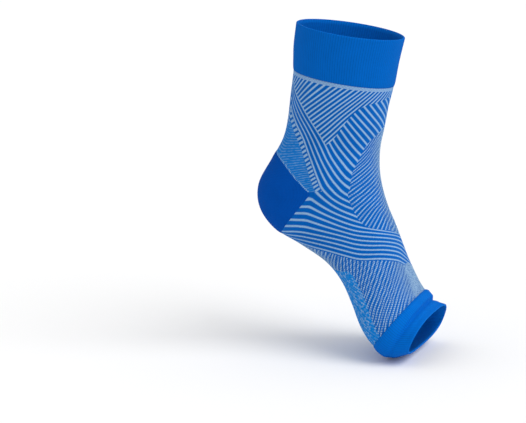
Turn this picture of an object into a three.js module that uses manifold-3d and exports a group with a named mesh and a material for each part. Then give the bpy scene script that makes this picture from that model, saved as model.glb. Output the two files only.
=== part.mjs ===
// Open-toe ankle sleeve for a left foot: a knitted tube in the form that it takes when it is worn with the
// heel raised. A doubled cuff grips the leg, a heel pocket closes the bend and a rolled band ends it at the
// toes.
// Millimetres. +X runs forward to the toes, +Y to the outer side of the foot and +Z up.
// The origin is the middle of the ankle, in the open hollow.

import * as THREE from "three";
import { mergeVertices } from "three/addons/utils/BufferGeometryUtils.js";
import Module from "manifold-3d";

// Walls: how far each piece stands out of the tube's outer surface, and how thick its fabric is.
const WALLS = {
  cuff: { proud: 0.6, thick: 1.9 },
  tube: { proud: 0, thick: 1.2 },
  heel: { proud: 0.3, thick: 1.6 },
  band: { proud: 0.4, thick: 1.8 },
};
const GAP = 0.3; // between one piece and the next along the tube
const HEEL_SEAM_SHIFT = 0.5; // the tube's heel opening lies this far in front of the pocket's edge
const EDGE_ROUND = 0.35; // share of the wall's thickness that is taken off each corner of a rim
const AROUND = 40; // facets round the leg or foot
const STEPS = 3; // facets along the tube from one section to the next
const BAND_STEPS = 6; // the same in the toe band, fine enough for its rolls

// One section for each level of the sleeve, from the cuff down to the toes. front is the shin and instep,
// and back is the calf, heel and sole, each as x and z on the middle plane. full swells the section towards
// a rounded square, egg widens it at the front, or at the sole below zero, ridge moves the instep in y, and
// slant moves the inner side towards the toes and the outer side as far back.
const SECTIONS = [
  { at: "cuff_top", front: [55, 114.3], back: [-30, 126], width: 84, full: 0, egg: 0, ridge: 0, slant: -1.2 },
  { at: "cuff_mid", front: [50.5, 95], back: [-32.5, 107], width: 79, full: 0, egg: 0, ridge: 0, slant: -1.1 },
  { at: "cuff_low", front: [47, 75.5], back: [-33.3, 87.8], width: 74, full: 0, egg: 0, ridge: 0, slant: -1 },
  { at: "leg_high", front: [43, 59], back: [-36, 67], width: 69, full: 0, egg: 0, ridge: 0, slant: -0.4 },
  { at: "leg_mid", front: [40, 42.5], back: [-38.8, 47], width: 64, full: 0, egg: 0.03, ridge: 0, slant: 0 },
  { at: "ankle", front: [37, 28], back: [-43, 31], width: 61, full: 0, egg: 0.03, ridge: 0, slant: 0 },
  { at: "heel_high", front: [36, 15], back: [-52, 14], width: 65, full: 0.01, egg: 0.03, ridge: 0, slant: 0 },
  { at: "heel_back", front: [37, 2], back: [-63, -7], width: 67, full: 0.02, egg: 0, ridge: 0, slant: 0 },
  { at: "heel_tip", front: [40, -11], back: [-62, -26], width: 66, full: 0.03, egg: 0, ridge: 0, slant: 0 },
  { at: "heel_low", front: [44, -23], back: [-49, -42], width: 66, full: 0.04, egg: -0.03, ridge: 0, slant: 0 },
  { at: "arch_back", front: [50, -36], back: [-27, -53], width: 68, full: 0.04, egg: -0.06, ridge: -1, slant: 0 },
  { at: "arch_mid", front: [55, -50], back: [-5, -65], width: 73, full: 0.05, egg: -0.1, ridge: -2, slant: 0 },
  { at: "arch_front", front: [60, -63], back: [10, -79], width: 79, full: 0.06, egg: -0.12, ridge: -4, slant: 0 },
  { at: "ball_back", front: [65, -75], back: [21, -96], width: 86, full: 0.07, egg: -0.12, ridge: -5, slant: 0 },
  { at: "ball", front: [69, -82.5], back: [30.5, -115.8], width: 91.5, full: 0.07, egg: -0.12, ridge: -6, slant: 0.8 },
  { at: "band_back", front: [73, -88.5], back: [41.5, -129], width: 97, full: 0.07, egg: -0.12, ridge: -6, slant: 2 },
  { at: "band_mid", front: [80, -95], back: [55, -137.4], width: 95, full: 0.07, egg: -0.12, ridge: -6, slant: 1.7 },
  { at: "band_edge", front: [87, -101], back: [73.6, -131.7], width: 94, full: 0.07, egg: -0.1, ridge: -5, slant: 0.7 },
];

// Soft rises and hollows on the sides of the tube, over the ankle bones, beside the tendon and in the arch.
// side is -1 on the inner side of the foot and 1 on the outer, and radius is where the rise has faded.
const SWELLS = [
  { at: "inner_ankle_bone", x: -2, z: 6, side: -1, rise: 4, radius: 15 },
  { at: "outer_ankle_bone", x: -10, z: -2, side: 1, rise: 4, radius: 15 },
  { at: "inner_tendon_hollow", x: -28, z: 22, side: -1, rise: -3.5, radius: 15 },
  { at: "outer_tendon_hollow", x: -30, z: 20, side: 1, rise: -3.5, radius: 15 },
  { at: "arch_hollow", x: 18, z: -62, side: -1, rise: -4, radius: 22 },
];
const SWELL_FADE = 20; // a rise fades out within this distance of the middle plane

// The heel pocket's edge in side view, as x and z: a curve from the corner on each side up to the tendon,
// and a straight line from the corner down to the sole. The last point of both lies outside the sleeve.
const HEEL_CORNER = [-8.8, -7.8];
const HEEL_UPPER_EDGE = [[-22.5, 3.2], [-43, 18], [-75, 33]];
const HEEL_LOWER_END = [-65, -75];

// The toe band's rolls, from the tube to the free edge: how far it lifts over the toes and under the sole.
const BAND_ROLLS = [
  { share: 0, top: 0.3, under: 0 },
  { share: 0.12, top: 1.5, under: 0.5 },
  { share: 0.36, top: 1.3, under: 0.4 },
  { share: 0.5, top: -1.3, under: 0 },
  { share: 0.72, top: -0.2, under: 0.1 },
  { share: 1, top: 1.2, under: 0.2 },
];

const COLOURS = { blue: 0x0659b8, pattern: 0x4a86cc };

// Sections as smooth lines along the tube, read at a section number such as 3.5

const rowOf = (name) => SECTIONS.findIndex((section) => section.at === name);

const lineThrough = (points) => new THREE.CatmullRomCurve3(points, false, "catmullrom", 0.5);

const FRONT_LINE = lineThrough(SECTIONS.map((s) => new THREE.Vector3(s.front[0], s.ridge, s.front[1])));
const BACK_LINE = lineThrough(SECTIONS.map((s) => new THREE.Vector3(s.back[0], 0, s.back[1])));
const FORM_LINE = lineThrough(SECTIONS.map((s) => new THREE.Vector3(s.width, s.full, s.egg)));
const SLANT_LINE = lineThrough(SECTIONS.map((s) => new THREE.Vector3(s.slant, 0, 0)));

const readLine = (line, row) => line.getPoint(row / (SECTIONS.length - 1));

// How far the swells push a point out of the middle plane.
function swellAt(x, y, z) {
  let push = 0;
  for (const { x: atX, z: atZ, side, rise, radius } of SWELLS) {
    if (y * side <= 0) continue;
    const distance2 = (x - atX) ** 2 + (z - atZ) ** 2;
    const fade = Math.min(Math.abs(y) / SWELL_FADE, 1);
    push += side * rise * fade * Math.exp(-distance2 / (2 * radius ** 2));
  }
  return push;
}

// A point of the tube's outer surface. turn is 0 at the front and runs round by the inner side of the foot.
function surfacePoint(row, turn) {
  const front = readLine(FRONT_LINE, row);
  const back = readLine(BACK_LINE, row);
  const { x: width, y: full, z: egg } = readLine(FORM_LINE, row);
  const { x: slant } = readLine(SLANT_LINE, row);
  const chord = front.clone().sub(back).setY(0).normalize();
  const swollen = 1 + full * Math.sin(2 * turn) ** 2;
  const along = Math.cos(turn) * swollen;
  const across = Math.sin(turn) * swollen;
  const point = new THREE.Vector3().lerpVectors(back, front, (1 + along) / 2);
  point.x += slant * across * chord.z;
  point.z -= slant * across * chord.x;
  point.y -= (width / 2) * across * (1 + egg * along);
  point.y += swellAt(point.x, point.y, point.z);
  return point;
}

// The surface's outward direction, from four points close by.
function surfaceNormal(row, turn) {
  const near = 0.01;
  const above = Math.max(row - near, 0);
  const below = Math.min(row + near, SECTIONS.length - 1);
  const round = surfacePoint(row, turn + near).sub(surfacePoint(row, turn - near));
  const down = surfacePoint(below, turn).sub(surfacePoint(above, turn));
  return round.cross(down).normalize();
}

// Millimetres along the middle of the tube for one section's step at this row.
function pitchAt(row) {
  const near = 0.05;
  const middle = (at) => readLine(FRONT_LINE, at).add(readLine(BACK_LINE, at)).multiplyScalar(0.5);
  return middle(row - near).distanceTo(middle(row + near)) / (2 * near);
}

// Closed walls

// Section numbers from one rim to the other, with an extra one beside each rim for its rounded corners.
function wallRows(from, to, corner, steps) {
  const first = from + corner / pitchAt(from + 0.1);
  const last = to - corner / pitchAt(to - 0.1);
  const rows = [from, first];
  const apart = 0.1 / steps;
  for (let k = Math.ceil(from * steps); k <= to * steps; k++) {
    const row = k / steps;
    if (row > first + apart && row < last - apart) rows.push(row);
  }
  rows.push(last, to);
  return rows;
}

// A wall that goes once round the tube between two rows: out along its outer face, over the rim, back along
// its inner face and over the other rim. lift adds to the outer face and the inner face alike.
function tubeWall(from, to, { proud, thick }, steps = STEPS, lift = () => 0) {
  const corner = EDGE_ROUND * thick;
  const rows = wallRows(from, to, corner, steps);
  const atRim = (k) => (k === 0 || k === rows.length - 1 ? corner : 0);
  const outer = rows.map((row, k) => ({ row, offset: proud - atRim(k) }));
  const inner = rows.map((row, k) => ({ row, offset: proud - thick + atRim(k) }));
  const profile = [...outer, ...inner.reverse()];

  const positions = [];
  for (const { row, offset } of profile) {
    for (let j = 0; j < AROUND; j++) {
      const turn = (2 * Math.PI * j) / AROUND;
      const reach = offset + lift((row - from) / (to - from), turn);
      positions.push(...surfacePoint(row, turn).addScaledVector(surfaceNormal(row, turn), reach).toArray());
    }
  }
  const triangles = [];
  for (let k = 0; k < profile.length; k++) {
    const next = (k + 1) % profile.length;
    for (let j = 0; j < AROUND; j++) {
      const beside = (j + 1) % AROUND;
      const [a, b] = [k * AROUND + j, k * AROUND + beside];
      const [c, d] = [next * AROUND + j, next * AROUND + beside];
      triangles.push(a, b, c, b, d, c);
    }
  }
  return new THREE.BufferGeometry()
    .setAttribute("position", new THREE.Float32BufferAttribute(positions, 3))
    .setIndex(triangles);
}

// A block as wide as the sleeve whose side view is the heel pocket, moved forward by shift.
function heelBlock(shift) {
  const reach = 60;
  const shape = new THREE.Shape()
    .moveTo(...HEEL_CORNER)
    .splineThru(HEEL_UPPER_EDGE.map(([x, z]) => new THREE.Vector2(x, z)))
    .lineTo(...HEEL_LOWER_END)
    .closePath();
  return new THREE.ExtrudeGeometry(shape, { depth: 2 * reach, bevelEnabled: false, curveSegments: 3 })
    .rotateX(Math.PI / 2)
    .translate(shift, reach, 0);
}

// Boolean cuts

const wasm = await Module();
wasm.setup();

function solidOf(geometry) {
  const bare = geometry.clone();
  bare.deleteAttribute("normal");
  bare.deleteAttribute("uv");
  const merged = mergeVertices(bare);
  const vertProperties = new Float32Array(merged.attributes.position.array);
  const triVerts = new Uint32Array(merged.index.array);
  return new wasm.Manifold(new wasm.Mesh({ numProp: 3, vertProperties, triVerts }));
}

function geometryOf(solid) {
  const { vertProperties, triVerts } = solid.getMesh();
  return new THREE.BufferGeometry()
    .setAttribute("position", new THREE.BufferAttribute(vertProperties, 3))
    .setIndex(new THREE.BufferAttribute(triVerts, 1));
}

// The pieces

const CUFF_END = rowOf("cuff_low");
const BAND_START = rowOf("band_back");

// The row that lies a gap past this one along the tube.
const afterGap = (row) => row + GAP / pitchAt(row);

// The doubled welt round the leg, open at the top.
function makeCuff() {
  return tubeWall(0, CUFF_END, WALLS.cuff);
}

// The patterned tube from the cuff to the toe band, cut open for the heel pocket.
function makeTube() {
  const wall = tubeWall(afterGap(CUFF_END), BAND_START, WALLS.tube);
  return geometryOf(solidOf(wall).subtract(solidOf(heelBlock(HEEL_SEAM_SHIFT))));
}

// The plain pocket that fills the tube's opening round the heel.
function makeHeelPocket() {
  const wall = tubeWall(rowOf("leg_mid"), rowOf("arch_mid"), WALLS.heel);
  return geometryOf(solidOf(wall).intersect(solidOf(heelBlock(0))));
}

// How far the toe band lifts at a share of its width, between its rolls over the toes and under the sole.
function bandLift(share, turn) {
  const k = Math.max(1, BAND_ROLLS.findIndex((roll) => roll.share >= share));
  const [near, far] = [BAND_ROLLS[k - 1], BAND_ROLLS[k]];
  const ease = THREE.MathUtils.smoothstep(share, near.share, far.share);
  const top = THREE.MathUtils.lerp(near.top, far.top, ease);
  const under = THREE.MathUtils.lerp(near.under, far.under, ease);
  return THREE.MathUtils.lerp(under, top, (1 + Math.cos(turn)) / 2);
}

// The rolled band at the open toe.
function makeToeBand() {
  return tubeWall(afterGap(BAND_START), SECTIONS.length - 1, WALLS.band, BAND_STEPS, bandLift);
}

function fabric(colour) {
  return new THREE.MeshStandardMaterial({ color: colour, roughness: 0.85, metalness: 0 });
}

function piece(name, geometry, colour) {
  const mesh = new THREE.Mesh(geometry, fabric(colour));
  mesh.name = name;
  return mesh;
}

const ankleSleeve = new THREE.Group();
ankleSleeve.name = "ankle_sleeve";
ankleSleeve.add(
  piece("cuff", makeCuff(), COLOURS.blue),
  piece("knit_tube", makeTube(), COLOURS.pattern),
  piece("heel_pocket", makeHeelPocket(), COLOURS.blue),
  piece("toe_band", makeToeBand(), COLOURS.blue),
);

export default ankleSleeve;
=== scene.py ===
# %% [markdown]
# # An open-toe ankle sleeve in knitted cloth
# The sleeve is one soft tube that a circular machine knits from the calf down to the toes. It has a doubled
# cuff, a tube with pale stripes on blue, a plain pocket for the heel and a rolled band at the toes. The
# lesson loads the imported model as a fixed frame, makes each piece as a surface worked out with numpy, and
# then dyes and lights it.

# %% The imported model
import bpy
import numpy as np
from mathutils import Matrix, Vector


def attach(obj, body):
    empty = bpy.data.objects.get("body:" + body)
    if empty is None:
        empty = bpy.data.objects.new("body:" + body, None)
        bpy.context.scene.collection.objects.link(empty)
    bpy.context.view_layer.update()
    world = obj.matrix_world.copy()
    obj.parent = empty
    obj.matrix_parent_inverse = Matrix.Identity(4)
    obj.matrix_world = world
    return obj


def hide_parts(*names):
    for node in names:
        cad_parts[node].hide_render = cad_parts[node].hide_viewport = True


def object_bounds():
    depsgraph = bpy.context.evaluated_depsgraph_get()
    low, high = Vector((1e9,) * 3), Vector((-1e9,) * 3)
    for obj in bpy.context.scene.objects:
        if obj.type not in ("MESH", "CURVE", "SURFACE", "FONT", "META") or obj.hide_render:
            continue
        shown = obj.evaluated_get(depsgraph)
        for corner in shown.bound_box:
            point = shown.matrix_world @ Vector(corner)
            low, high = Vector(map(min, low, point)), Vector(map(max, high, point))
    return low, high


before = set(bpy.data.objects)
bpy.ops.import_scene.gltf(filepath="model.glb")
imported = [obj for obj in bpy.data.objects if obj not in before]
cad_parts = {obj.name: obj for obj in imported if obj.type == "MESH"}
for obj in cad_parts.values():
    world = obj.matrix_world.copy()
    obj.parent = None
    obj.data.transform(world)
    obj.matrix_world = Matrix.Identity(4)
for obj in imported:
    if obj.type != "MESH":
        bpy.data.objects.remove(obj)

CAD_BOX = [[float(x) for x in corner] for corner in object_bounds()]
print("model nodes", sorted(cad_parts), "box", CAD_BOX)

# %% [markdown]
# ## The worn form
# A worn sleeve has the form of the ankle in it. It could be sculpted by hand, but a loft keeps every size
# in sight: each row of the table is one level of the sleeve, with its front and back point on the middle
# plane, its width and a few numbers for the roundness. A smooth line runs through each column. Sizes are
# millimetres, and only the finished mesh is turned into metres.

# %% Sections from the cuff to the toes
MM = 0.001
# Front x and z, back x and z, width, full, egg, ridge and slant.
SECTIONS = {
    "cuff_top": (55, 114.3, -30, 126, 84, 0, 0, 0, -1.2),
    "cuff_mid": (50.5, 95, -32.5, 107, 79, 0, 0, 0, -1.1),
    "cuff_low": (47, 75.5, -33.3, 87.8, 74, 0, 0, 0, -1),
    "leg_high": (43, 59, -36, 67, 69, 0, 0, 0, -0.4),
    "leg_mid": (40, 42.5, -38.8, 47, 64, 0, 0.03, 0, 0),
    "ankle": (37, 28, -43, 31, 61, 0, 0.03, 0, 0),
    "heel_high": (36, 15, -52, 14, 65, 0.01, 0.03, 0, 0),
    "heel_back": (37, 2, -63, -7, 67, 0.02, 0, 0, 0),
    "heel_tip": (40, -11, -62, -26, 66, 0.03, 0, 0, 0),
    "heel_low": (44, -23, -49, -42, 66, 0.04, -0.03, 0, 0),
    "arch_back": (50, -36, -27, -53, 68, 0.04, -0.06, -1, 0),
    "arch_mid": (55, -50, -5, -65, 73, 0.05, -0.1, -2, 0),
    "arch_front": (60, -63, 10, -79, 79, 0.06, -0.12, -4, 0),
    "ball_back": (65, -75, 21, -96, 86, 0.07, -0.12, -5, 0),
    "ball": (69, -82.5, 30.5, -115.8, 91.5, 0.07, -0.12, -6, 0.8),
    "band_back": (73, -88.5, 41.5, -129, 97, 0.07, -0.12, -6, 2),
    "band_mid": (80, -95, 55, -137.4, 95, 0.07, -0.12, -6, 1.7),
    "band_edge": (87, -101, 73.6, -131.7, 94, 0.07, -0.1, -5, 0.7),
}
# Soft rises and hollows on the sides: x, z, side of the foot, rise and radius.
SWELLS = {
    "inner_ankle_bone": (-2, 6, -1, 4, 15),
    "outer_ankle_bone": (-10, -2, 1, 4, 15),
    "inner_tendon_hollow": (-28, 22, -1, -3.5, 15),
    "outer_tendon_hollow": (-30, 20, 1, -3.5, 15),
    "arch_hollow": (18, -62, -1, -4, 22),
}
SWELL_FADE = 20
ROW = {name: number for number, name in enumerate(SECTIONS)}
LAST_ROW = len(SECTIONS) - 1


def smooth_line(values, at):
    """A Catmull-Rom line through the rows of values, read at the row numbers in at.

    Between two rows it is the cubic whose slope at each row is half the step from the row before to the row
    after, and both ends run on straight."""
    rows = np.asarray(values, float)
    rows = np.vstack([2 * rows[0] - rows[1], rows, 2 * rows[-1] - rows[-2]])
    at = np.asarray(at, float)
    first = np.clip(np.floor(at).astype(int), 0, len(rows) - 4)
    f = (at - first)[..., None]
    a, b, c, d = (rows[first + k] for k in range(4))
    return 0.5 * (2 * b + (c - a) * f + (2 * a - 5 * b + 4 * c - d) * f**2 + (3 * b - a - 3 * c + d) * f**3)


def tube_point(row, turn):
    """The tube's outer surface in mm at a row number and a turn, which is 0 at the front and pi at the back.

    A section is an ellipse between its front and back point. full swells its four quarters, egg widens one
    end, ridge moves the front sideways, slant moves the inner side towards the toes and the outer side away
    from them, and each swell adds a soft bell to one side."""
    values = smooth_line(list(SECTIONS.values()), row)
    front_x, front_z, back_x, back_z, width, full, egg, ridge, slant = np.moveaxis(values, -1, 0)
    swollen = 1 + full * np.sin(2 * turn) ** 2
    along = np.cos(turn) * swollen
    across = np.sin(turn) * swollen
    chord_x, chord_z = front_x - back_x, front_z - back_z
    shift = slant * across / np.hypot(chord_x, chord_z)
    x = back_x + chord_x * (1 + along) / 2 + shift * chord_z
    z = back_z + chord_z * (1 + along) / 2 - shift * chord_x
    y = ridge * (1 + along) / 2 - width / 2 * across * (1 + egg * along)
    push = np.zeros_like(y)
    for at_x, at_z, side, rise, radius in SWELLS.values():
        bell = np.exp(-((x - at_x) ** 2 + (z - at_z) ** 2) / (2 * radius**2))
        push += side * rise * bell * np.clip(y * side / SWELL_FADE, 0, 1)
    return np.stack([x, y + push, z], -1)


def tube_normal(row, turn):
    """The outward direction: the cross product of a small step round the tube and a small step down it."""
    near = 0.01
    round_step = tube_point(row, turn + near) - tube_point(row, turn - near)
    above, below = np.clip(row - near, 0, LAST_ROW), np.clip(row + near, 0, LAST_ROW)
    out = np.cross(round_step, tube_point(below, turn) - tube_point(above, turn))
    return out / np.linalg.norm(out, axis=-1, keepdims=True)


print("sections", len(SECTIONS), "cuff front", tube_point(np.array(0.0), np.array(0.0)))

# %% [markdown]
# ## Wales and courses
# A knitted tube is a grid. Columns of stitches, called wales, run down it, and rows of stitches, called
# courses, go round it. The machine makes every stitch the same size, so the grid used here shares out each
# section's girth evenly, and spaces the courses evenly down the side of the leg and foot.

# %% Even spacing round and along the tube
STEPS_ROUND, STEPS_PER_ROW = 720, 40
FINE_TURNS = np.linspace(0, 2 * np.pi, STEPS_ROUND + 1)
FINE_ROWS = np.linspace(0, LAST_ROW, STEPS_PER_ROW * LAST_ROW + 1)
FINE = tube_point(FINE_ROWS[:, None], FINE_TURNS[None])


def lengths_along(points, axis):
    """Millimetres from the start along an axis of a grid of points: the running sum of the steps."""
    steps = np.linalg.norm(np.diff(points, axis=axis), axis=-1)
    return np.insert(np.cumsum(steps, axis), 0, 0, axis)


ROUND = lengths_along(FINE, 1)
GIRTH = ROUND[:, -1]
DOWN = lengths_along(FINE[:, STEPS_ROUND // 4], 0)


def girth_at(row):
    """Millimetres round the tube at a row."""
    return np.interp(row, FINE_ROWS, GIRTH)


def down_at(row):
    """Millimetres down the inner side of the tube from the cuff's top to a row."""
    return np.interp(row, FINE_ROWS, DOWN)


def row_at(down):
    """The row that lies this many millimetres down the inner side."""
    return np.interp(down, DOWN, FINE_ROWS)


def even_turns(rows, shares):
    """The turn at each share of the girth, 0 to 1 from the front by the inner side, for each row.

    The girth up to a turn is read off at the two nearest fine rows and turned round by interpolation."""
    place = np.interp(rows, FINE_ROWS, np.arange(len(FINE_ROWS)))
    low = np.clip(place.astype(int), 0, len(FINE_ROWS) - 2)
    f = (place - low)[:, None]
    length = ROUND[low] * (1 - f) + ROUND[low + 1] * f
    return np.stack([np.interp(shares, line / line[-1], FINE_TURNS) for line in length])


print("girth at the ankle", girth_at(ROW["ankle"]), "length", DOWN[-1])

# %% [markdown]
# ## Walls
# Cloth has two faces and an edge. Every piece here is one closed wall: a grid for the outer face, a grid for
# the inner face, and the rims that join them. A Solidify modifier could do that, but making both faces from
# the same formula lets the edges be rounded and the ribs stay on the outside only.

# %% Meshes from points and quads
scene = bpy.context.scene


def put_object(name, data):
    """A new object in the scene, at the origin, that holds a mesh, camera or light."""
    made = bpy.data.objects.new(name, data)
    scene.collection.objects.link(made)
    return made


def put_mesh(name, points_mm, quads):
    """A mesh object in metres from points in mm and quads, smooth shaded."""
    mesh = bpy.data.meshes.new(name)
    mesh.vertices.add(len(points_mm))
    mesh.vertices.foreach_set("co", (np.asarray(points_mm) * MM).astype(np.float32).ravel())
    mesh.loops.add(quads.size)
    mesh.loops.foreach_set("vertex_index", quads.astype(np.int32).ravel())
    mesh.polygons.add(len(quads))
    mesh.polygons.foreach_set("loop_start", np.arange(0, quads.size, 4, dtype=np.int32))
    mesh.polygons.foreach_set("use_smooth", np.ones(len(quads), bool))
    mesh.update(calc_edges=True)
    mesh.validate()
    print(name, len(points_mm), "points", 2 * len(quads), "triangles")
    return put_object(name, mesh)


def put_values(piece, name, values):
    """One number for each point of the mesh, kept as an attribute that the material reads."""
    layer = piece.data.attributes.new(name, "FLOAT", "POINT")
    layer.data.foreach_set("value", np.asarray(values, np.float32).ravel())


def put_map(piece, name, corner_uv):
    """A map of two numbers for each corner of each face."""
    layer = piece.data.uv_layers.new(name=name)
    layer.uv.foreach_set("vector", np.asarray(corner_uv, np.float32).ravel())


# %% [markdown]
# ## The camera first
# The stripes were read off the photograph along their middles, so the camera that took it is needed before
# the cloth. It stands a little above the sleeve, in front of its inner side, and far away, because the
# sleeve shows hardly any perspective.

# %% The photograph's camera
IMAGE_WIDTH, IMAGE_HEIGHT = 526, 423
MM_PER_PIXEL = 0.8
CAMERA_AZIMUTH, CAMERA_ELEVATION = np.radians(20), np.radians(11)
CAMERA_DISTANCE = 2200
ANKLE_PIXEL = np.array([335, 178])
SENSOR = 36

right = np.array([np.cos(CAMERA_AZIMUTH), np.sin(CAMERA_AZIMUTH), 0])
backward = np.array([np.sin(CAMERA_AZIMUTH) * np.cos(CAMERA_ELEVATION),
                     -np.cos(CAMERA_AZIMUTH) * np.cos(CAMERA_ELEVATION), np.sin(CAMERA_ELEVATION)])
upward = np.cross(backward, right)
middle_pixel = np.array([IMAGE_WIDTH, IMAGE_HEIGHT]) / 2
off_middle = (ANKLE_PIXEL - middle_pixel) * MM_PER_PIXEL
camera_place = backward * CAMERA_DISTANCE - right * off_middle[0] + upward * off_middle[1]


def pixel_of(points):
    """Where points in mm fall in the photograph: sideways and upward shares of the distance, in pixels."""
    away = points - camera_place
    scale = CAMERA_DISTANCE / MM_PER_PIXEL / -(away @ backward)
    sideways, over = (away @ right) * scale, (away @ upward) * scale
    return np.stack([middle_pixel[0] + sideways, middle_pixel[1] - over], -1)


camera_data = bpy.data.cameras.new("camera")
camera_data.sensor_width = SENSOR
camera_data.sensor_fit = "HORIZONTAL"
camera_data.lens = SENSOR * CAMERA_DISTANCE / (IMAGE_WIDTH * MM_PER_PIXEL)
camera = put_object("camera", camera_data)
camera.matrix_world = Matrix(np.vstack([
    np.column_stack([right, upward, backward, camera_place * MM]), [0, 0, 0, 1]]).tolist())
scene.camera = camera
print("camera lens", camera_data.lens, "ankle pixel", pixel_of(np.zeros(3)))

# %% [markdown]
# ## The stripe chart
# The tube's stripes come in panels that meet at angles. A machine knits them from a chart of coloured cells.
# The chart here is a drawing instead: a few stripes of each panel are drawn as guide lines, each with its
# number, and a stitch gets its number from the guides on both sides of it. Every whole number is the middle
# of a pale stripe. Guides are given by their pixels, because that is how they were read, and are laid on the
# tube by looking for the point that shows at that pixel.

# %% Guide lines, as stripe number and pixels
# The long stripes: down beside the tendon, round in front of the heel and along the foot.
SWEEP = {
    -14: [(305, 244.4), (325, 250), (345, 255.6), (360, 258.9), (380, 258.6), (397, 260), (403, 262.8)],
    -11: [(282.8, 231.4), (296, 231.6), (310, 233.6), (338, 239.6), (355, 243.9), (370, 245.7),
          (385, 245.6), (399, 248.3), (404, 252.2)],
    -8: [(294.4, 213.5), (300, 213.2), (307, 213.6), (315.6, 217), (330, 222.4), (348, 228.8), (358, 231.2),
         (370, 232.6), (390, 234.4), (401, 238)],
    -6: [(307, 199.4), (311, 199.6), (314.4, 201.8), (324, 207.6), (338, 214.7), (361, 222.8), (375, 226.5),
         (392, 229.5), (400, 232)],
    -5: [(289, 121), (301, 149), (308.5, 168), (312.5, 180), (315, 190), (321.5, 197), (335.6, 207.6),
         (351.5, 214.5), (375, 222.5), (398, 228)],
    -4: [(295, 120), (304, 140), (311.7, 161.8), (318.3, 179.4), (322, 188.8), (332, 198.5), (345, 206),
         (356, 210), (375, 216), (396, 222)],
    -2: [(296, 107.5), (308, 131.3), (316.2, 149), (324.8, 168), (330, 177), (336.6, 185.6), (347.5, 195),
         (375.5, 205)],
    0: [(296.3, 95), (303, 108.3), (318, 132.7), (325.5, 145.9), (331.7, 158.7), (337.6, 167.3),
        (343.8, 175.2), (350, 180.5), (373.5, 191.5)],
    2: [(333, 139.5), (342.4, 152.8), (349, 160.8), (355.5, 167), (372.5, 177.5)],
    5: [(343.6, 125.3), (352.6, 136.8), (364, 149.5)],
    8: [(355.5, 114.9), (366.9, 127.7), (374, 136)],
    11: [(370.2, 105.3), (377.9, 114.9), (384, 124.9)],
    14: [(386, 99.6), (387.9, 104.4)],
}
# The panel under the cuff, with stripes that rise to the front.
UPPER = {
    1: [(296.3, 94.5), (298.5, 92), (301, 88.5)],
    5: [(304, 106.5), (313, 100), (323, 92.7), (330, 87.5)],
    10: [(314.3, 124), (324, 116.5), (335, 108.3), (346, 100.6), (358, 92)],
    15: [(324, 142.5), (334, 133.5), (346, 122.5), (358, 111.5), (370, 101.5)],
}
# The panel in front of the ankle, with fine dotted stripes.
INSTEP = {
    -3: [(360, 146.5), (367, 139), (373, 130.5)],
    0: [(360, 156.5), (367, 149), (373, 140.5)],
    4: [(352.5, 174.5), (360, 168.5), (367, 162), (373, 153.5)],
    7: [(350.2, 187), (358, 181.5), (366, 175), (373, 167.5), (377, 160)],
    10: [(350, 200.8), (358, 195), (366, 188.5), (373, 182), (378, 175)],
    14: [(356.8, 216.7), (363, 210), (370, 203), (377, 196), (382, 188)],
    19: [(373, 228.4), (377, 220.5), (382, 211.6), (387, 203)],
    23: [(389, 230.5), (391, 223), (393.5, 215)],
}
# The panel over the forefoot, with steep stripes.
FOOT = {
    -6: [(329, 256), (329, 268)],
    0: [(347, 259), (347.5, 268)],
    4: [(362, 261), (361, 272), (358.5, 286)],
    8: [(378.5, 260), (374, 275), (368.5, 292), (365.5, 301)],
    12: [(392.5, 262), (387.5, 280), (382, 298), (376, 318), (373, 327)],
    16: [(403.5, 266), (398, 285), (392, 305), (386, 324)],
    20: [(413, 276), (406, 300)],
}
# Edges between panels, and the edge of the pale strip on top of the toes.
UPPER_EDGE = [(326, 145), (333, 139.8), (346.8, 121), (359.3, 109.6), (370.2, 104.7), (386, 99.4)]
INSTEP_EDGE = [(383, 128), (371, 140), (360.5, 156), (352, 173.5), (350, 188), (348, 195), (352.5, 208.5),
               (361.5, 222.5), (373, 228.5), (390, 230.5), (398, 234)]
FOOT_EDGE = [(324, 260), (335, 269.5), (347, 271.5), (351, 274), (355.5, 280), (364.5, 299), (371, 318),
             (379, 335)]
STRIP_EDGE = [(413, 261), (406.5, 263), (404.5, 267), (410, 281), (417, 299)]
# The foot of the ladder of rungs behind the ankle.
LADDER_FOOT = (313, 192)
print("guides", len(SWEEP), len(UPPER), len(INSTEP), len(FOOT))

# %% [markdown]
# The tube is unrolled to a flat chart for this: across it run the millimetres from the front line, and down
# it the millimetres from the cuff.

# %% Guides on the unrolled tube
PAST_FRONT, PAST_BACK = STEPS_ROUND // 6, STEPS_ROUND // 12
inner_half = slice(0, STEPS_ROUND // 2 + PAST_BACK + 1)
front_margin = slice(STEPS_ROUND - PAST_FRONT, STEPS_ROUND)
lookup_points = np.concatenate([FINE[:, front_margin], FINE[:, inner_half]], 1)
lookup_across = np.concatenate([ROUND[:, front_margin] - GIRTH[:, None], ROUND[:, inner_half]], 1)
lookup_down = np.broadcast_to(DOWN[:, None], lookup_across.shape)
facing = np.cross(np.gradient(lookup_points, axis=1), np.gradient(lookup_points, axis=0))
towards = np.einsum("ijk,ijk->ij", facing, camera_place - lookup_points) > 0
SEEN_PIXELS = pixel_of(lookup_points)[towards]
SEEN_CHART = np.stack([lookup_across[towards], lookup_down[towards]], -1)


GUIDE_STEPS = 6


def on_chart(pixels):
    """Chart places of photograph pixels: those of the nearest of all the points that face the camera."""
    nearest = [((SEEN_PIXELS - pixel) ** 2).sum(1).argmin() for pixel in np.asarray(pixels)]
    return SEEN_CHART[nearest]


def smoothed(points, steps):
    """A smooth line through points, with so many steps from each point to the next."""
    last = len(points) - 1
    return smooth_line(points, np.linspace(0, last, steps * last + 1))


def guide_line(pixels):
    """A guide on the chart, smoothed through its points."""
    return smoothed(on_chart(pixels), GUIDE_STEPS)


print("points that face the camera", len(SEEN_CHART), "ankle on the chart", on_chart([ANKLE_PIXEL]))


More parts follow.
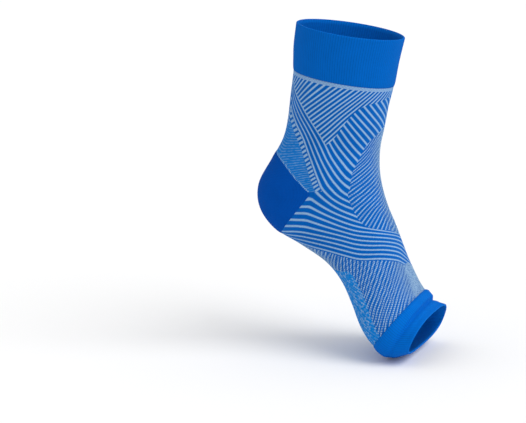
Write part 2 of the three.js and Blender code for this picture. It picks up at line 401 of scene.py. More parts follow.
# %% Distances to lines, and stripe numbers between guides
def nearest_on(places, line):
    """The distance on the chart from each place to a line, with a sign for its side, and the nearest point.

    Each stretch of the line gives its own nearest point, and the two end stretches run on for ever. The
    nearest stretch counts, and the sign is that of the cross product with its direction."""
    start, step = line[:-1], np.diff(line, axis=0)
    best = np.full(len(places), np.inf)
    signed = np.zeros(len(places))
    point = np.zeros((len(places), 2))
    for number, (a, d) in enumerate(zip(start, step)):
        low = -np.inf if number == 0 else 0
        high = np.inf if number == len(start) - 1 else 1
        away = places - a
        share = np.clip(away @ d / (d @ d), low, high)
        on_line = a + share[:, None] * d
        length = np.linalg.norm(places - on_line, axis=1)
        side = np.sign(d[0] * away[:, 1] - d[1] * away[:, 0])
        closer = length < best
        best = np.where(closer, length, best)
        signed = np.where(closer, side * length, signed)
        point = np.where(closer[:, None], on_line, point)
    return signed, point


def signed_distance(places, line):
    """Only the distance, with its sign."""
    return nearest_on(places, line)[0]


def stripe_number(places, guides):
    """A stripe number for every place: between two guides it runs evenly from one number to the next.

    Past the first and last guide it goes on at the pace of the stripes beside them."""
    numbers = sorted(guides)
    lines = [guide_line(guides[number]) for number in numbers]
    middle = lines[-1][len(lines[-1]) // 2][None]
    turn_round = np.sign(signed_distance(middle, lines[0])[0])
    past = [turn_round * signed_distance(places, line) for line in lines]
    total = np.full(len(places), float(numbers[0]))
    for k in range(len(numbers) - 1):
        between = past[k] / np.where(past[k] - past[k + 1] == 0, 1, past[k] - past[k + 1])
        share = np.where(past[k] <= 0, 0, np.where(past[k + 1] >= 0, 1, between))
        total += (numbers[k + 1] - numbers[k]) * share
    first_gap = abs(signed_distance(lines[0][len(lines[0]) // 2][None], lines[1])[0])
    last_gap = abs(signed_distance(middle, lines[-2])[0])
    total += np.minimum(past[0], 0) * (numbers[1] - numbers[0]) / first_gap
    total += np.maximum(past[-1], 0) * (numbers[-1] - numbers[-2]) / last_gap
    return total


print("stripe number at the ladder's foot", stripe_number(on_chart([LADDER_FOOT]), SWEEP))

# %% [markdown]
# ## The striped tube
# The tube is one grid of stitches inside and out. Round the heel its cells are left out, so that the pocket
# has a real opening to sit in, and the edge of that opening is closed like a rim. Every point keeps its
# stripe numbers and its distance to the panel edges, and the material turns those into colour later, so the
# stripes stay sharp at any size.

# %% The heel pocket's edge, in side view
HEEL_CORNER = (-8.8, -7.8)
HEEL_UPPER_EDGE = [(-22.5, 3.2), (-43, 18), (-75, 33)]
HEEL_LOWER_END = (-65, -75)
HEEL_EDGE_STEPS = 12
upper_line = smoothed([HEEL_CORNER, *HEEL_UPPER_EDGE], HEEL_EDGE_STEPS)
lower_line = np.array([HEEL_CORNER, HEEL_LOWER_END], float)


def heel_depth(points):
    """How far a point lies inside the heel pocket's outline in side view: the smaller of the distances to
    its upper and lower edge, below zero outside."""
    side_view = points[..., [0, 2]].reshape(-1, 2)
    under_upper = signed_distance(side_view, upper_line)
    over_lower = -signed_distance(side_view, lower_line)
    return np.minimum(under_upper, over_lower).reshape(points.shape[:-1])


print("heel edge from", upper_line[0], "to", upper_line[-1])

# %% The tube's two faces
WALES, COURSES = 184, 256
TUBE_THICK, JOIN = 1.2, 0.05
HEEL_HOLE_MARGIN = 2.2
FRONT_FOLD = 18

tube_rows = row_at(np.linspace(down_at(ROW["cuff_low"]) + JOIN, down_at(ROW["band_back"]), COURSES + 1))
tube_shares = np.arange(WALES) / WALES
tube_turns = even_turns(tube_rows, tube_shares)
tube_outer = tube_point(tube_rows[:, None], tube_turns)
tube_out = tube_normal(tube_rows[:, None], tube_turns)
tube_inner = tube_outer - TUBE_THICK * tube_out
tube_girth = girth_at(tube_rows)[:, None]
from_fold = (tube_shares * tube_girth + FRONT_FOLD + tube_girth / 2) % tube_girth - tube_girth / 2
down = np.broadcast_to(down_at(tube_rows)[:, None], from_fold.shape)
chart = np.stack([np.abs(from_fold) - FRONT_FOLD, down], -1).reshape(-1, 2)
print("stitch", girth_at(tube_rows[COURSES // 2]) / WALES, "by", (down[-1, 0] - down[0, 0]) / COURSES, "mm")

# %% [markdown]
# The panels lie alike on both sides of a fold line in front of the shin, but most stripes run on across it
# and fall or rise towards the outer side. Only the strap that comes round the back is alike on both sides.

# %% Stripe numbers and panel edges at every stitch
# Two levels in mm below the cuff's top, and each kind of stripe's fall there for each mm round the leg.
RUN_ON_LEVELS = (60, 200)
SWEEP_FALL, LIMIT_FALL = (1.0, 0.2), (1.0, 0.4)
UPPER_FALL, INSTEP_FALL = (-1.2, -1.2), (-0.8, -0.3)
INSTEP_START = 6
across = (from_fold - FRONT_FOLD).reshape(-1)


def run_on(falls, start=-FRONT_FOLD):
    """The chart with every place past a start line moved back to it along the stripes, by their fall at that
    level times the way round from the line."""
    fall = np.interp(chart[:, 1], RUN_ON_LEVELS, falls)
    past = np.maximum(start - across, 0)
    moved = np.stack([np.full(len(chart), start), chart[:, 1] - past * fall], -1)
    return np.where(past[:, None] > 0, moved, chart)


in_foot, foot_edge_point = nearest_on(chart, guide_line(FOOT_EDGE))
STRIPES = {
    "sweep": stripe_number(run_on(SWEEP_FALL), SWEEP),
    "strap": stripe_number(chart, SWEEP),
    "limit": stripe_number(run_on(LIMIT_FALL), SWEEP),
    "upper": stripe_number(run_on(UPPER_FALL), UPPER),
    "instep": stripe_number(run_on(INSTEP_FALL, INSTEP_START), INSTEP),
    "foot": stripe_number(chart, FOOT),
    "sole": stripe_number(2 * foot_edge_point - chart, FOOT),
}
EDGES = {
    "over_upper_edge": signed_distance(chart, guide_line(UPPER_EDGE)),
    "in_instep": signed_distance(chart, guide_line(INSTEP_EDGE)),
    "in_foot": in_foot,
    "in_strip": signed_distance(chart, guide_line(STRIP_EDGE)),
    "behind_strap": -signed_distance(chart, guide_line(SWEEP[-4])),
    "over_ladder_foot": on_chart([LADDER_FOOT])[0, 1] - chart[:, 1],
    "under_cuff": chart[:, 1] - down[0, 0],
    "off_heel": -heel_depth(tube_outer).reshape(-1),
}
for name, values in {**STRIPES, **EDGES}.items():
    print(name, values.min().round(1), "to", values.max().round(1))

# %% The tube as one closed wall with an opening for the heel
OUT, IN = 0, 1
course, wale = np.meshgrid(np.arange(COURSES), np.arange(WALES), indexing="ij")


def point_at(face, i, j):
    """The number of the point of the outer or inner face on course line i and wale line j."""
    return (face * (COURSES + 1) + i) * WALES + j % WALES


cell_middle = (tube_outer[:-1] + tube_outer[1:]) / 2
cell_middle = (cell_middle + np.roll(cell_middle, -1, 1)) / 2
kept = heel_depth(cell_middle) < HEEL_HOLE_MARGIN
padded = np.pad(kept, ((1, 1), (0, 0)))
kept_above, kept_below = padded[:-2], padded[2:]
kept_before, kept_after = np.roll(kept, 1, 1), np.roll(kept, -1, 1)


def patch(mask, corners):
    """The quads of the chosen cells, with the wale and course of each corner."""
    numbers = np.stack([point_at(face, course + di, wale + dj)[mask] for face, di, dj in corners], 1)
    places = np.stack([np.stack([(wale + dj)[mask], (course + di)[mask]], 1) for _, di, dj in corners], 1)
    return numbers, places


TUBE_FACES = [
    patch(kept, [(OUT, 0, 0), (OUT, 0, 1), (OUT, 1, 1), (OUT, 1, 0)]),
    patch(kept, [(IN, 0, 0), (IN, 1, 0), (IN, 1, 1), (IN, 0, 1)]),
    patch(kept & ~kept_above, [(IN, 0, 0), (IN, 0, 1), (OUT, 0, 1), (OUT, 0, 0)]),
    patch(kept & ~kept_below, [(OUT, 1, 0), (OUT, 1, 1), (IN, 1, 1), (IN, 1, 0)]),
    patch(kept & ~kept_after, [(OUT, 0, 1), (IN, 0, 1), (IN, 1, 1), (OUT, 1, 1)]),
    patch(kept & ~kept_before, [(IN, 0, 0), (OUT, 0, 0), (OUT, 1, 0), (IN, 1, 0)]),
]
tube_quads = np.concatenate([numbers for numbers, _ in TUBE_FACES])
tube_places = np.concatenate([places for _, places in TUBE_FACES])
used, tube_quads = np.unique(tube_quads, return_inverse=True)
tube_quads = tube_quads.reshape(-1, 4)
tube_points = np.concatenate([tube_outer.reshape(-1, 3), tube_inner.reshape(-1, 3)])[used]
knit_tube = put_mesh("striped_tube", tube_points, tube_quads)
put_map(knit_tube, "stitch", tube_places)
for name, values in {**STRIPES, **EDGES}.items():
    put_values(knit_tube, name, np.tile(values, 2)[used])
put_values(knit_tube, "inside", used >= len(chart))

# %% [markdown]
# ## The cuff
# The cuff is a welt: the knit is turned over at the top and joined to itself at the bottom, so it is thick,
# has a round fold above and a firm edge below. Fine ribs run down it. The profile of the wall, out and over
# and back, is carried round the leg, and the ribs are a wave added to its outer side.

# %% A wall's profile, carried round the tube
CORNER_POINTS, POINTS_PER_RIB = 5, 4
RIB_MEAN = 0.6


def wall_profile(start, stop, proud, thick, top_round, low_round, step):
    """The outline of a wall's cross-section as distance down the side and height over the tube, in mm.

    It runs down the outer face, round the lower corners, up the inner face and round the upper corners.
    Corners are quarter circles."""
    quarter = np.linspace(0, np.pi / 2, CORNER_POINTS)
    top_sin, top_cos = top_round * np.sin(quarter), top_round * np.cos(quarter)
    low_sin, low_cos = low_round * np.sin(quarter), low_round * np.cos(quarter)
    upper, lower, inside = start + top_round, stop - low_round, proud - thick
    outer_down = np.linspace(upper, lower, int((stop - start) / step))
    inner_down = outer_down[::-3][1:]
    stretches = [
        (outer_down, np.full(len(outer_down), proud)),
        (lower + low_sin[1:], proud - low_round + low_cos[1:]),
        (lower + low_cos, inside + low_round - low_sin),
        (inner_down, np.full(len(inner_down), inside)),
        (upper - top_sin, inside + top_round - top_cos),
        (upper - top_cos[:-1], proud - top_round + top_sin[:-1]),
    ]
    return tuple(np.concatenate(values) for values in zip(*stretches))


def round_wall(name, profile, lift, wales):
    """A wall round the tube: every point of the profile is set off from the tube's surface along its normal,
    and lift(down, share, height) adds ribs and rolls. The stitch map counts wales round and mm down."""
    profile_down, height = profile
    rows = row_at(profile_down)
    round_count = wales * POINTS_PER_RIB
    shares = np.arange(round_count) / round_count
    turns = even_turns(rows, shares)
    reach = height[:, None] + lift(profile_down[:, None], shares[None], height[:, None])
    points = tube_point(rows[:, None], turns) + reach[..., None] * tube_normal(rows[:, None], turns)
    ring, spot = np.divmod(np.arange(len(rows) * round_count), round_count)
    next_ring = (ring + 1) % len(rows)
    rings = np.stack([ring, ring, next_ring, next_ring], 1)
    spots = np.stack([spot, spot + 1, spot + 1, spot], 1)
    piece = put_mesh(name, points.reshape(-1, 3), rings * round_count + spots % round_count)
    put_map(piece, "stitch", np.stack([spots * wales / round_count, profile_down[rings]], -1))
    return piece


def smooth_step(values, low, high):
    """0 below low, 1 above high, and an even S between them."""
    share = np.clip((values - low) / (high - low), 0, 1)
    return share * share * (3 - 2 * share)


def rib_wave(ribs, share):
    """One rounded hump for each rib round the tube: the size of a cosine, less its mean."""
    return np.abs(np.cos(np.pi * ribs * share)) - RIB_MEAN


# %% The cuff
CUFF_WALL = {"proud": 0.6, "thick": 1.9, "top_round": 0.9, "low_round": 0.6, "step": 0.9}
CUFF_HEM, CUFF_TUCK = 5, 0.7
CUFF_RIBS, CUFF_RIB_HEIGHT, CUFF_RIB_FADE = 128, 0.2, 1.0
cuff_stop = down_at(ROW["cuff_low"])


def cuff_ribs(down_mm, share, height):
    """Ribs and hem on the outer side only: a rounded wave round the leg, and a quarter ellipse that draws
    the last few millimetres in to the tube."""
    near_edge = np.clip((down_mm - cuff_stop) / CUFF_HEM + 1, 0, 1)
    tuck = CUFF_TUCK * (1 - np.sqrt(1 - near_edge**2))
    outside = smooth_step(height, CUFF_WALL["proud"] - CUFF_RIB_FADE, CUFF_WALL["proud"])
    return (CUFF_RIB_HEIGHT * rib_wave(CUFF_RIBS, share) - tuck) * outside


cuff = round_wall("cuff_welt", wall_profile(0, cuff_stop, **CUFF_WALL), cuff_ribs, CUFF_RIBS)

# %% [markdown]
# ## The toe band
# The toe band is elastic knit that rolls: a low ridge where it leaves the tube, a groove along its middle,
# and a free edge that flares a little. The rolls are strongest over the toes and almost gone under the sole.

# %% The toe band
BAND_WALL = {"proud": 0.4, "thick": 1.8, "top_round": 0.5, "low_round": 0.8, "step": 0.45}
BAND_RIBS, BAND_RIB_HEIGHT, BAND_RIB_FADE = 132, 0.16, 0.8
BAND_GROOVE, BAND_CREASE, BAND_CREASE_WIDTH = 0.5, 0.9, 0.06
# Share of the band's width, lift over the toes and lift under the sole.
BAND_ROLLS = np.array([(0, 0.3, 0), (0.12, 1.5, 0.5), (0.36, 1.3, 0.4), (BAND_GROOVE, -1.3, 0),
                       (0.72, -0.2, 0.1), (1, 1.2, 0.2)])
band_start, band_stop = down_at(ROW["band_back"]) + JOIN, DOWN[-1]


def band_rolls(down_mm, share, height):
    """Rolls, a crease and ribs. Each roll eases from one line of the table to the next, more over the toes
    than under the sole. The crease is a narrow bell along the groove, and the ribs are a wave round the
    foot on the outer side only."""
    along = np.clip((down_mm - band_start) / (band_stop - band_start), 0, 1)
    roll_numbers = np.arange(len(BAND_ROLLS))
    at = np.interp(along, BAND_ROLLS[:, 0], roll_numbers)
    eased = np.floor(at) + smooth_step(at - np.floor(at), 0, 1)
    top = np.interp(eased, roll_numbers, BAND_ROLLS[:, 1])
    under = np.interp(eased, roll_numbers, BAND_ROLLS[:, 2])
    over_toes = (1 + np.cos(2 * np.pi * share)) / 2
    crease = -BAND_CREASE * np.exp(-(((along - BAND_GROOVE) / BAND_CREASE_WIDTH) ** 2)) * over_toes
    outside = smooth_step(height, BAND_WALL["proud"] - BAND_RIB_FADE, BAND_WALL["proud"])
    ribs = BAND_RIB_HEIGHT * rib_wave(BAND_RIBS, share) * outside
    return under + (top - under) * over_toes + crease + ribs


band_profile = wall_profile(band_start, band_stop, **BAND_WALL)
toe_band = round_wall("toe_roll", band_profile, band_rolls, BAND_RIBS)

# %% [markdown]
# ## The heel pocket
# The pocket is knitted to and fro, so that it bulges, and it ends in a corner on each side of the foot. It
# is a patch of the same surface: across it runs the turn from corner to corner, and down it the rows between
# its upper and lower edge. Its rim is thin and lies on the tube, and further in it has its own full wall.

# %% Where the pocket begins and ends at each turn
HEEL_PROUD, HEEL_THICK = 0.35, 1.6
HEEL_ACROSS, HEEL_DOWN, HEEL_WALES = 240, 112, 130
# Depths inside the edge between which the outer face rises, and the inner face sinks, to the full wall.
HEEL_ROUND, HEEL_RIM = (-0.2, 2.5), (3.2, 4.8)
HEEL_LIP, HEEL_LIP_THICK = 0.03, 0.05
HEEL_TIP = 0.004
SEARCH_ROWS, SEARCH_TURNS = 561, 541

heel_rows = np.linspace(ROW["leg_mid"], ROW["arch_mid"], SEARCH_ROWS)
half_turns = np.linspace(np.pi / 4, np.pi, SEARCH_TURNS)
depth = heel_depth(tube_point(heel_rows[:, None], half_turns[None]))
inside = depth > 0
first_in = inside.argmax(0)
last_in = len(heel_rows) - 1 - inside[::-1].argmax(0)


def crossing(before, after, columns):
    """The row where the depth is zero between two neighbouring rows, by straight interpolation."""
    d0, d1 = depth[before, columns], depth[after, columns]
    return heel_rows[before] + (heel_rows[after] - heel_rows[before]) * d0 / (d0 - d1)


columns = np.flatnonzero(inside.any(0))
edge_turns = half_turns[columns]
edge_upper = crossing(first_in[columns] - 1, first_in[columns], columns)
edge_lower = crossing(last_in[columns], last_in[columns] + 1, columns)
print("heel corner at turn", edge_turns[0], "rows at the back", edge_upper[-1], edge_lower[-1])

# %% The pocket as one closed wall
spread = np.linspace(0, 1, HEEL_ACROSS // 2 + 1)
side_turns = edge_turns[0] + HEEL_TIP + (np.pi - edge_turns[0] - HEEL_TIP) * spread
heel_turns = np.concatenate([side_turns, 2 * np.pi - side_turns[-2::-1]])
folded = np.minimum(heel_turns, 2 * np.pi - heel_turns)
top_row = np.interp(folded, edge_turns, edge_upper)
low_row = np.interp(folded, edge_turns, edge_lower)
share_down = np.linspace(0, 1, HEEL_DOWN + 1)[:, None]
patch_rows = top_row + (low_row - top_row) * share_down
patch_turns = np.broadcast_to(heel_turns, patch_rows.shape)
patch_base = tube_point(patch_rows, patch_turns)
patch_out = tube_normal(patch_rows, patch_turns)
patch_depth = np.maximum(heel_depth(patch_base), 0)
rise = HEEL_PROUD * np.sqrt(smooth_step(patch_depth, *HEEL_ROUND))
sink = HEEL_LIP - (HEEL_LIP + HEEL_THICK - HEEL_PROUD) * smooth_step(patch_depth, *HEEL_RIM)
patch_outer = patch_base + np.maximum(rise, HEEL_LIP + HEEL_LIP_THICK)[..., None] * patch_out
patch_inner = patch_base + sink[..., None] * patch_out

lines, places = patch_rows.shape
number = np.arange(lines * places).reshape(lines, places)
under = number + lines * places


def strip(a, b, c, d):
    """Quads from four arrays of corner numbers."""
    return np.stack([x.reshape(-1) for x in (a, b, c, d)], 1)


heel_quads = np.concatenate([
    strip(number[:-1, :-1], number[:-1, 1:], number[1:, 1:], number[1:, :-1]),
    strip(under[:-1, :-1], under[1:, :-1], under[1:, 1:], under[:-1, 1:]),
    strip(under[0, :-1], under[0, 1:], number[0, 1:], number[0, :-1]),
    strip(number[-1, :-1], number[-1, 1:], under[-1, 1:], under[-1, :-1]),
    strip(number[:-1, -1], under[:-1, -1], under[1:, -1], number[1:, -1]),
    strip(under[:-1, 0], number[:-1, 0], number[1:, 0], under[1:, 0]),
])
heel_points = np.concatenate([patch_outer.reshape(-1, 3), patch_inner.reshape(-1, 3)])
heel = put_mesh("heel_patch", heel_points, heel_quads)
heel_wale = np.broadcast_to(np.linspace(0, HEEL_WALES, places), patch_rows.shape)
heel_place = np.stack([heel_wale, down_at(patch_rows)], -1).reshape(-1, 2)
put_map(heel, "stitch", np.tile(heel_place, (2, 1))[heel_quads])

# %% [markdown]
# ## Yarn and stitches
# A knit's look comes from its loops. Each stitch is a small V of two legs, and its colour is that of the
# yarn. The map of wales and courses gives the place inside a stitch, and a little arithmetic gives the
# height of the loop. Writing that arithmetic node by node is slow to read, so a small class lets Python's
# operators add the Math nodes.

# %% A socket that can be calculated with
def operator(operation, turned=False):
    """A method for the class below: a Math node on the wire and the other value, or in the turned order."""
    def method(wire, *other):
        values = (*other, wire) if turned else (wire, *other)
        return wire.node("Math", {"operation": operation}, dict(enumerate(values)))
    return method


class Wire:
    """One output of a material's node. Operators on it add Math nodes to the same material."""

    def __init__(self, tree, socket=None):
        self.tree = tree
        self.socket = socket

    def node(self, kind, settings=None, inputs=None, output=0):
        """A new node of a kind: its settings are set first, and then its inputs get values or links."""
        made = self.tree.nodes.new("ShaderNode" + kind)
        for name, value in (settings or {}).items():
            setattr(made, name, value)
        for key, value in (inputs or {}).items():
            if isinstance(value, Wire):
                self.tree.links.new(value.socket, made.inputs[key])
            else:
                made.inputs[key].default_value = value
        return Wire(self.tree, made.outputs[output])

    __add__ = __radd__ = operator("ADD")
    __sub__, __rsub__ = operator("SUBTRACT"), operator("SUBTRACT", turned=True)
    __mul__ = __rmul__ = operator("MULTIPLY")
    __truediv__, __mod__ = operator("DIVIDE"), operator("FLOORED_MODULO")
    __lt__, __gt__ = operator("LESS_THAN"), operator("GREATER_THAN")
    __abs__, whole, part = operator("ABSOLUTE"), operator("FLOOR"), operator("FRACT")

    def ease(self, low, high):
        """0 below low and 1 above high, with an even S between."""
        inputs = {"Value": self, "From Min": low, "From Max": high}
        return self.node("MapRange", {"interpolation_type": "SMOOTHSTEP"}, inputs)


def either(first, second, choice):
    """first where choice is 0 and second where it is 1."""
    return first + (second - first) * choice


def dye(red, green, blue):
    """A colour as seen, 0 to 255, as the linear colour that a shader takes."""
    seen = np.array([red, green, blue]) / 255
    linear = np.where(seen <= 0.04045, seen / 12.92, ((seen + 0.055) / 1.055) ** 2.4)
    return (*linear.tolist(), 1.0)


# %% A cloth material with knitted loops
SPECULAR = 0.02
SHEEN = {"Sheen Roughness": 0.35, "Sheen Tint": (0.15, 0.5, 1, 1), "Specular IOR Level": SPECULAR}
LOOP_SLANT = 0.6


def new_cloth(name, sheen):
    """An empty cloth material: its first wire, and the shader with the constants that all yarns share."""
    material = bpy.data.materials.new(name)
    material.use_nodes = True
    shader = material.node_tree.nodes["Principled BSDF"]
    for socket, value in {"Sheen Weight": sheen, **SHEEN}.items():
        shader.inputs[socket].default_value = value
    return material, Wire(material.node_tree), shader


def stitch_map(wire):
    """The wale and course numbers from the piece's own map."""
    place = wire.node("UVMap", {"uv_map": "stitch"})
    split = wire.node("SeparateXYZ", inputs={"Vector": place})
    return split, Wire(wire.tree, split.socket.node.outputs[1])


def knit_loops(wale, course):
    """Height of the loops: two legs in each stitch that slant down to its middle, each one rounded."""
    leg = abs(wale.part() - 0.5) * 2
    slant = (course + leg * LOOP_SLANT).part() * 2 - 1
    across_leg = leg * 2 - 1
    return (1 - slant * slant) * (1 - across_leg * across_leg)


def yarn_tone(wire, scale):
    """Slow unevenness of the dye over the piece, about 0.5 in the middle."""
    place = wire.node("TexCoord", output=3)
    return wire.node("TexNoise", inputs={"Vector": place, "Scale": scale, "Detail": 3.0})


def blend_dyes(wire, first, second, factor):
    """A mix of two colours."""
    return wire.node("Mix", {"data_type": "RGBA"}, {0: factor, 6: first, 7: second}, output=2)


def finish_cloth(wire, shader, colour, height, depth_mm, rough):
    """Colour, roughness and a bump of this depth into the shader."""
    bump = wire.node("Bump", inputs={"Strength": 1.0, "Distance": depth_mm * MM, "Height": height})
    for name, value in {"Base Color": colour, "Roughness": rough, "Normal": bump}.items():
        wire.tree.links.new(value.socket, shader.inputs[name])


# %% [markdown]
# ## The plain blues
# The cuff, the heel and the toe band are one blue yarn, but each gets its own copy of the blue. The cuff
# is ribbed and catches the light. The heel is dense, and its blue is darker: painted shade, where it lies
# in shade. The band's blue is lighter: painted light, where the light falls on it.

# %% The three plain knits
PLAIN_COURSE, PLAIN_TONE = 1.1, 90.0
GROOVE_SHADE = 0.7
# The blue as seen, darker on the heel as painted shade and lighter on the band as painted light, then the
# weight of the sheen and the depth of the loops in mm.
PLAIN_KNITS = {
    "cuff_knit": ((2, 99, 193), 0.06, 0.16),
    "heel_knit": ((1, 78, 174), 0.03, 0.12),
    "band_knit": ((3, 108, 208), 0.06, 0.18),
}


def plain_knit(name, blue, sheen, loop_mm):
    """A plain knit: one blue, with painted shade in the grooves between the wales and between the loops."""
    material, wire, shader = new_cloth(name, sheen)
    wale_number, down_mm = stitch_map(wire)
    loops = knit_loops(wale_number, down_mm / PLAIN_COURSE)
    groove = abs(wale_number.part() - 0.5) * 2
    tone = yarn_tone(wire, PLAIN_TONE)
    # Painted light and shade: lighter on the loop tops, darker in the grooves, with the dye's slow uneven
    # tone.
    light_shade_and_tone = 0.75 + loops * 0.35 - groove * groove * 0.45 + (tone - 0.5) * 0.35
    shaded = dye(*[GROOVE_SHADE * c for c in blue])
    colour = blend_dyes(wire, shaded, dye(*blue), light_shade_and_tone.ease(-0.2, 1.1))
    finish_cloth(wire, shader, colour, loops - groove * 0.6, loop_mm, 0.9 - loops * 0.1)
    return material


knits = {name: plain_knit(name, *finish) for name, finish in PLAIN_KNITS.items()}
print("plain knits", list(knits))

# %% [markdown]
# ## The striped knit
# Two yarns are carried together here, and the machine brings one or the other to the front. The numbers
# kept at the points say how far each stitch is from the middle of a pale stripe, so a stripe is a band round
# every whole number. The loops push the edge of the band a little to and fro, as real stitches do. Behind
# the ankle, under the arch and on top of the toes the yarns change too often for stripes, and make flecks.

# %% Which yarn shows in each panel
# Width of the pale stripes of each panel, as a share of the way from one to the next.
STRIPE_WIDTH = {"sweep": 0.32, "upper": 0.37, "instep": 0.34, "foot": 0.52, "sole": 0.5}
EDGE_SOFT, LOOP_PUSH = 0.07, 0.08
# The stripe number where the strap ends, and the depths in mm over which the strip on the toes fades in.
STRAP_END, STRIP_FADE = 0.1, (-5.0, 3.0)
# Sizes in mm behind the ankle: rungs, threads, the ladder's two edges and the line along the heel.
RUNG_STEP, RUNG_SLANT, RUNG_START = 3.1, 0.55, 1.5
THREAD_STEP, THREAD_SLANT = 1.7, 0.2
LADDER_START, LADDER_STOP, HEEL_LINE = 1.0, 6.2, 1.4


def pale_line(at, name):
    """1 within half a stripe's width of a whole number and 0 beyond, with an edge that the loops push."""
    half = STRIPE_WIDTH[name] / 2
    off_middle = abs((at[name] + 0.5).part() - 0.5) + (at["loops"] - 0.45) * LOOP_PUSH
    return 1 - off_middle.ease(half - EDGE_SOFT, half + EDGE_SOFT)


def leg_stripes(at):
    """The strap and the sweep, the panel under the cuff and the dotted one in front of the ankle."""
    in_upper = (at["over_upper_edge"] > 0) * (at["sweep"] > STRAP_END)
    pale = either(pale_line(at, "sweep") * 0.9, pale_line(at, "upper"), in_upper)
    return either(pale, pale_line(at, "instep") * at["dots"], at["in_instep"] > 0)


def foot_stripes(at):
    """Steep dotted stripes over the forefoot, a speckled strip on top of the toes, and flecks below."""
    checker, chance = at["checker"], at["chance"]
    steep = pale_line(at, "foot") * (0.1 + checker * 0.9)
    speckled = 0.2 + (chance > 0.35) * 0.4 + checker * 0.25
    steep = either(steep, speckled, at["in_strip"].ease(*STRIP_FADE))
    mottled = pale_line(at, "sole") * chance * 0.4 + (chance > 0.6) * checker * 0.4
    return either(mottled, steep, at["in_foot"] > 0)


def tendon_rungs(at):
    """A ladder of rungs behind the strap, faint threads behind it, and a dotted line along the heel."""
    behind, height = at["behind_strap"], at["over_ladder_foot"]
    rungs = ((height + behind * RUNG_SLANT) / RUNG_STEP).part() < 0.5
    threads = ((height + behind * THREAD_SLANT) / THREAD_STEP).part() < 0.5
    threads = threads * (0.04 + at["chance"] * 0.34)
    threads = either(threads, at["checker"] * 0.7, at["off_heel"] < HEEL_LINE)
    return either(threads, rungs * 0.9 * (behind > RUNG_START), behind < LADDER_STOP)


# %% [markdown]
# On the inside the other yarn shows, so the pattern is turned round and fainter there. In the dotted panels
# the pale loops stand up like a fuzz, and the cloth looks paler where it is seen at a glancing angle. Hairs
# could do that, but a second shader with a strong sheen, mixed in over those panels only, is enough.

# %% The striped knit
# The second blue is lighter: painted light for the sole and the back of the ankle, which lie in shade.
STRIPE_BLUE, FLECK_BLUE_WITH_PAINTED_LIGHT, PALE_YARN = (2, 98, 190), (2, 130, 220), (158, 194, 230)
STRIPED_SHEEN, STRIPED_TONE, STRIPED_LOOP = 0.35, 60.0, 0.16
COURSE_STEPS = 1.35
# The stripe number where the forefoot begins, and how far the strip on the toes moves it.
FOOT_LIMIT, STRIP_LIFT = -14.4, 1.8
RING_WIDTH = 2.8
FUZZ = {"Sheen Weight": 1.0, "Sheen Roughness": 0.22, "Sheen Tint": (0.72, 1, 1, 1),
        "Specular IOR Level": SPECULAR}


def stitch_values(wire):
    """What is known at a stitch: the numbers kept at the points, the height of its loop, and a checker, dots
    and a chance that change from stitch to stitch."""
    names = [*STRIPES, *EDGES, "inside"]
    at = {name: wire.node("Attribute", {"attribute_name": name}, output=2) for name in names}
    on_strap = (at["over_upper_edge"] > 0) * (at["strap"] < STRAP_END)
    at["sweep"] = either(at["sweep"], at["strap"], on_strap)
    wale_number, course_number = stitch_map(wire)
    course_number = course_number / COURSE_STEPS
    cell = wire.node("CombineXYZ", inputs={0: (wale_number / 2).whole(), 1: course_number.whole()})
    at["loops"] = knit_loops(wale_number, course_number)
    at["checker"] = (wale_number.whole() + course_number.whole()) % 2
    at["dots"] = 0.35 + at["checker"] * 0.65
    at["chance"] = wire.node("TexWhiteNoise", {"noise_dimensions": "2D"}, {"Vector": cell})
    return at


def striped_knit(name):
    """Two yarns: blue, and pale wherever the stripe numbers or the place between the panels ask for it."""
    material, wire, shader = new_cloth(name, STRIPED_SHEEN)
    at = stitch_values(wire)
    loops, behind = at["loops"], at["behind_strap"]
    over_foot_edge = at["in_foot"] > 0
    on_foot = at["limit"] - (at["in_strip"] > 0) * STRIP_LIFT < FOOT_LIMIT
    over_tendon = (behind > LADDER_START) * (at["over_ladder_foot"] > 0)
    pale = either(leg_stripes(at), foot_stripes(at), on_foot)
    pale = either(pale, tendon_rungs(at), over_tendon)
    pale = either(pale, 0.55 + at["dots"] * 0.3, at["under_cuff"] < RING_WIDTH)
    pale = either(pale, 0.5 - pale * 0.35, at["inside"])
    # Painted light: the lighter blue on the sole, and at 0.6 behind the ankle, where the cloth lies in
    # shade.
    painted_light_share = on_foot * (1 - over_foot_edge) + over_tendon * (1 - (behind < LADDER_STOP)) * 0.6

    tone = yarn_tone(wire, STRIPED_TONE)
    # Painted shade: the yarn is darker between the loops and lighter on their tops, with the dye's uneven
    # tone.
    shade_and_tone = (0.3 + loops * 0.6 + (tone - 0.5) * 0.4).ease(-0.1, 0.9)
    blue = blend_dyes(wire, dye(*STRIPE_BLUE), dye(*FLECK_BLUE_WITH_PAINTED_LIGHT), painted_light_share)
    yarn = blend_dyes(wire, blue, dye(*PALE_YARN), pale)
    colour = wire.node("VectorMath", {"operation": "SCALE"}, {0: yarn, 3: 0.57 + shade_and_tone * 0.43})
    smooth = Wire(wire.tree, shader.outputs[0])
    fuzzy = wire.node("BsdfPrincipled", inputs=FUZZ)
    for knit in (smooth, fuzzy):
        finish_cloth(wire, knit.socket.node, colour, loops + pale * 0.4, STRIPED_LOOP, 0.9 - loops * 0.12)
    raised = either(at["in_instep"] > 0, over_foot_edge, on_foot)
    mixed = wire.node("MixShader", inputs={0: raised, 1: smooth, 2: fuzzy})
    wire.tree.links.new(mixed.socket, wire.tree.nodes["Material Output"].inputs["Surface"])
    return material


knits["striped_knit"] = striped_knit("striped_knit")
print("nodes in the striped knit", len(knits["striped_knit"].node_tree.nodes))

# %% Which solid each piece replaces, and its material slot
FINISHES = {
    cuff: ("cuff", "cuff_knit"),
    knit_tube: ("knit_tube", "striped_knit"),
    heel: ("heel_pocket", "heel_knit"),
    toe_band: ("toe_band", "band_knit"),
}
for piece, (node, slot) in FINISHES.items():
    piece.data.materials.append(knits[slot])
    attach(piece, "root")
    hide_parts(node)
    print(piece.name, "replaces", node, "in", slot)
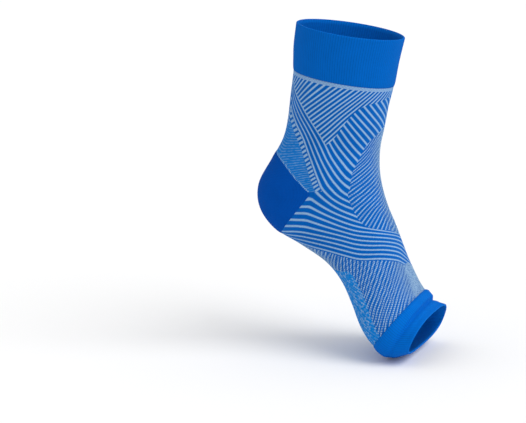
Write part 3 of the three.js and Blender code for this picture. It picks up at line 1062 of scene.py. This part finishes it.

# %% [markdown]
# ## The knit off the leg
# Off the leg the knit is narrower, because it is elastic: flat and slack, its girth is about 0.85 of the
# worn girth.


# %% [markdown]
# ## Studio
# The photograph has a white ground and soft light from the upper right. A large pale floor, a bright sky and
# one wide lamp give the same: the sky fills the shadows, and the lamp shapes the folds.

# %% Floor, sky and lamp
FLOOR_UNDER, FLOOR_HALF = 0.4, 4.0
FLOOR_PALE, FLOOR_ROUGH = (0.92, 0.92, 0.92, 1), 0.9
floor_level = CAD_BOX[0][2] - FLOOR_UNDER * MM
floor_mesh = bpy.data.meshes.new("floor")
floor_corners = FLOOR_HALF * np.array([(-1, -1), (1, -1), (1, 1), (-1, 1)])
floor_mesh.from_pydata([(x, y, floor_level) for x, y in floor_corners], [], [(0, 1, 2, 3)])
floor = put_object("floor", floor_mesh)
floor_material = bpy.data.materials.new("pale_floor")
floor_material.use_nodes = True
floor_shader = floor_material.node_tree.nodes["Principled BSDF"]
floor_shader.inputs["Base Color"].default_value = FLOOR_PALE
floor_shader.inputs["Roughness"].default_value = FLOOR_ROUGH
floor_mesh.materials.append(floor_material)

world = bpy.data.worlds.new("studio")
scene.world = world
world.use_nodes = True
SKY_FILL, SKY_SEEN = 0.75, 1.0
seen_directly = Wire(world.node_tree).node("LightPath")
strength = seen_directly * (SKY_SEEN - SKY_FILL) + SKY_FILL
background = world.node_tree.nodes["Background"]
background.inputs["Color"].default_value = (1, 1, 1, 1)
world.node_tree.links.new(strength.socket, background.inputs["Strength"])

KEY_SIDE, KEY_UP, KEY_FRONT = 0.6, 0.6, 0.5
KEY_STRENGTH, KEY_SPREAD = 1.7, np.radians(50)
key_data = bpy.data.lights.new("key", "SUN")
key_data.energy = KEY_STRENGTH
key_data.angle = KEY_SPREAD
key = put_object("key", key_data)
key_from = KEY_SIDE * right + KEY_UP * upward + KEY_FRONT * backward
key.rotation_euler = Vector(key_from).to_track_quat("Z", "Y").to_euler()
scene.view_settings.view_transform = "Standard"
print("light from", key_from)
